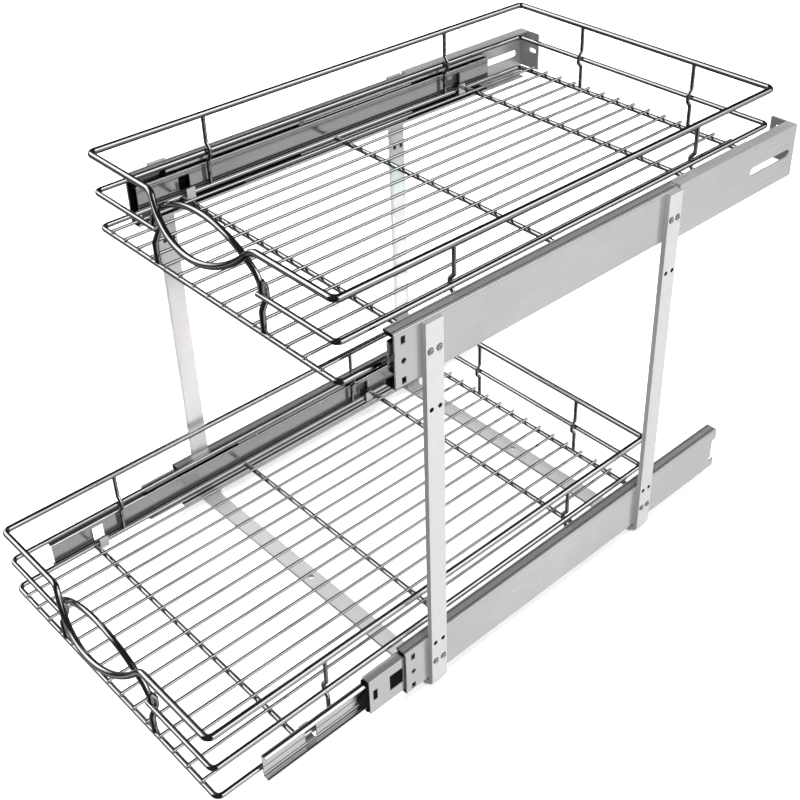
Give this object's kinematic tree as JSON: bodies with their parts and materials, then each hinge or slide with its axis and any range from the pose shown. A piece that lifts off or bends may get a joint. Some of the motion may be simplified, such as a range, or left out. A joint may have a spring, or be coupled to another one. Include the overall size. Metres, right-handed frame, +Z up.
{
  "type": "pull out cabinet basket",
  "caption": "Two-tier pull-out cabinet organiser: chromed wire baskets with a hand opening, each on ball-bearing slides in a floor-mounted steel post frame.",
  "frame": {"origin": "on the cabinet floor, midway between the two floor screws in the straps", "axes": "+X to the right seen from the front, +Y to the back of the cabinet (the baskets roll out towards -Y), +Z up"},
  "size_m": [0.3724, 0.7173, 0.4403],
  "materials": {
    "posts": "satin pale grey powder coat",
    "slides": "satin zinc plating on rolled sheet",
    "brackets": "satin zinc plating on folded sheet",
    "fasteners": "bright zinc",
    "wires": "polished chrome plating",
    "balls": "polished hardened steel",
    "bumpers": "black moulded plastic"
  },
  "bodies": {
    "frame": {"front_left_post": "posts", "front_right_post": "posts", "rear_left_post": "posts", "rear_right_post": "posts", "front_floor_strap": "posts", "rear_floor_strap": "posts", "strap_rivets": "fasteners", "post_screws": "fasteners", "left_rear_bracket": "brackets", "right_rear_bracket": "brackets", "lower_left_rail": "slides", "lower_left_rail_bumper": "bumpers", "lower_right_rail": "slides", "lower_right_rail_bumper": "bumpers", "upper_left_rail": "slides", "upper_left_rail_bumper": "bumpers", "upper_right_rail": "slides", "upper_right_rail_bumper": "bumpers"},
    "lower_basket": {"lower_top_rim": "wires", "lower_handle_arch": "wires", "lower_middle_rim": "wires", "lower_floor_frame": "wires", "lower_cross_wires": "wires", "lower_floor_wires": "wires", "lower_uprights": "wires", "lower_left_inner_member": "slides", "lower_right_inner_member": "slides"},
    "lower_left_middle": {"lower_left_middle_member": "slides", "lower_left_middle_bumper": "bumpers"},
    "lower_left_outer_race": {"lower_left_outer_cage": "slides", "lower_left_outer_balls": "balls"},
    "lower_left_inner_race": {"lower_left_inner_cage": "slides", "lower_left_inner_balls": "balls"},
    "lower_right_middle": {"lower_right_middle_member": "slides", "lower_right_middle_bumper": "bumpers"},
    "lower_right_outer_race": {"lower_right_outer_cage": "slides", "lower_right_outer_balls": "balls"},
    "lower_right_inner_race": {"lower_right_inner_cage": "slides", "lower_right_inner_balls": "balls"},
    "upper_basket": {"upper_top_rim": "wires", "upper_handle_arch": "wires", "upper_middle_rim": "wires", "upper_floor_frame": "wires", "upper_cross_wires": "wires", "upper_floor_wires": "wires", "upper_uprights": "wires", "upper_left_inner_member": "slides", "upper_right_inner_member": "slides"},
    "upper_left_middle": {"upper_left_middle_member": "slides", "upper_left_middle_bumper": "bumpers"},
    "upper_left_outer_race": {"upper_left_outer_cage": "slides", "upper_left_outer_balls": "balls"},
    "upper_left_inner_race": {"upper_left_inner_cage": "slides", "upper_left_inner_balls": "balls"},
    "upper_right_middle": {"upper_right_middle_member": "slides", "upper_right_middle_bumper": "bumpers"},
    "upper_right_outer_race": {"upper_right_outer_cage": "slides", "upper_right_outer_balls": "balls"},
    "upper_right_inner_race": {"upper_right_inner_cage": "slides", "upper_right_inner_balls": "balls"}
  },
  "joints": [
    {"name": "lower_basket_slide", "type": "slide", "parent": "frame", "child": "lower_basket", "axis": [0, -1, 0], "range_m": [-0.1495, 0.2805]},
    {"name": "lower_left_middle_slide", "type": "slide", "parent": "frame", "child": "lower_left_middle", "axis": [0, -1, 0], "range_m": [-0.07475, 0.14025]},
    {"name": "lower_left_outer_race_slide", "type": "slide", "parent": "frame", "child": "lower_left_outer_race", "axis": [0, -1, 0], "range_m": [-0.03737, 0.07013]},
    {"name": "lower_left_inner_race_slide", "type": "slide", "parent": "frame", "child": "lower_left_inner_race", "axis": [0, -1, 0], "range_m": [-0.11213, 0.21038]},
    {"name": "lower_right_middle_slide", "type": "slide", "parent": "frame", "child": "lower_right_middle", "axis": [0, -1, 0], "range_m": [-0.07475, 0.14025]},
    {"name": "lower_right_outer_race_slide", "type": "slide", "parent": "frame", "child": "lower_right_outer_race", "axis": [0, -1, 0], "range_m": [-0.03737, 0.07013]},
    {"name": "lower_right_inner_race_slide", "type": "slide", "parent": "frame", "child": "lower_right_inner_race", "axis": [0, -1, 0], "range_m": [-0.11213, 0.21038]},
    {"name": "upper_basket_slide", "type": "slide", "parent": "frame", "child": "upper_basket", "axis": [0, -1, 0], "range_m": [0, 0.43]},
    {"name": "upper_left_middle_slide", "type": "slide", "parent": "frame", "child": "upper_left_middle", "axis": [0, -1, 0], "range_m": [0, 0.215]},
    {"name": "upper_left_outer_race_slide", "type": "slide", "parent": "frame", "child": "upper_left_outer_race", "axis": [0, -1, 0], "range_m": [0, 0.1075]},
    {"name": "upper_left_inner_race_slide", "type": "slide", "parent": "frame", "child": "upper_left_inner_race", "axis": [0, -1, 0], "range_m": [0, 0.3225]},
    {"name": "upper_right_middle_slide", "type": "slide", "parent": "frame", "child": "upper_right_middle", "axis": [0, -1, 0], "range_m": [0, 0.215]},
    {"name": "upper_right_outer_race_slide", "type": "slide", "parent": "frame", "child": "upper_right_outer_race", "axis": [0, -1, 0], "range_m": [0, 0.1075]},
    {"name": "upper_right_inner_race_slide", "type": "slide", "parent": "frame", "child": "upper_right_inner_race", "axis": [0, -1, 0], "range_m": [0, 0.3225]}
  ],
  "couplings": [
    {"joint": "lower_left_middle_slide", "follows": "lower_basket_slide", "ratio": 0.5},
    {"joint": "lower_left_outer_race_slide", "follows": "lower_basket_slide", "ratio": 0.25},
    {"joint": "lower_left_inner_race_slide", "follows": "lower_basket_slide", "ratio": 0.75},
    {"joint": "lower_right_middle_slide", "follows": "lower_basket_slide", "ratio": 0.5},
    {"joint": "lower_right_outer_race_slide", "follows": "lower_basket_slide", "ratio": 0.25},
    {"joint": "lower_right_inner_race_slide", "follows": "lower_basket_slide", "ratio": 0.75},
    {"joint": "upper_left_middle_slide", "follows": "upper_basket_slide", "ratio": 0.5},
    {"joint": "upper_left_outer_race_slide", "follows": "upper_basket_slide", "ratio": 0.25},
    {"joint": "upper_left_inner_race_slide", "follows": "upper_basket_slide", "ratio": 0.75},
    {"joint": "upper_right_middle_slide", "follows": "upper_basket_slide", "ratio": 0.5},
    {"joint": "upper_right_outer_race_slide", "follows": "upper_basket_slide", "ratio": 0.25},
    {"joint": "upper_right_inner_race_slide", "follows": "upper_basket_slide", "ratio": 0.75}
  ]
}
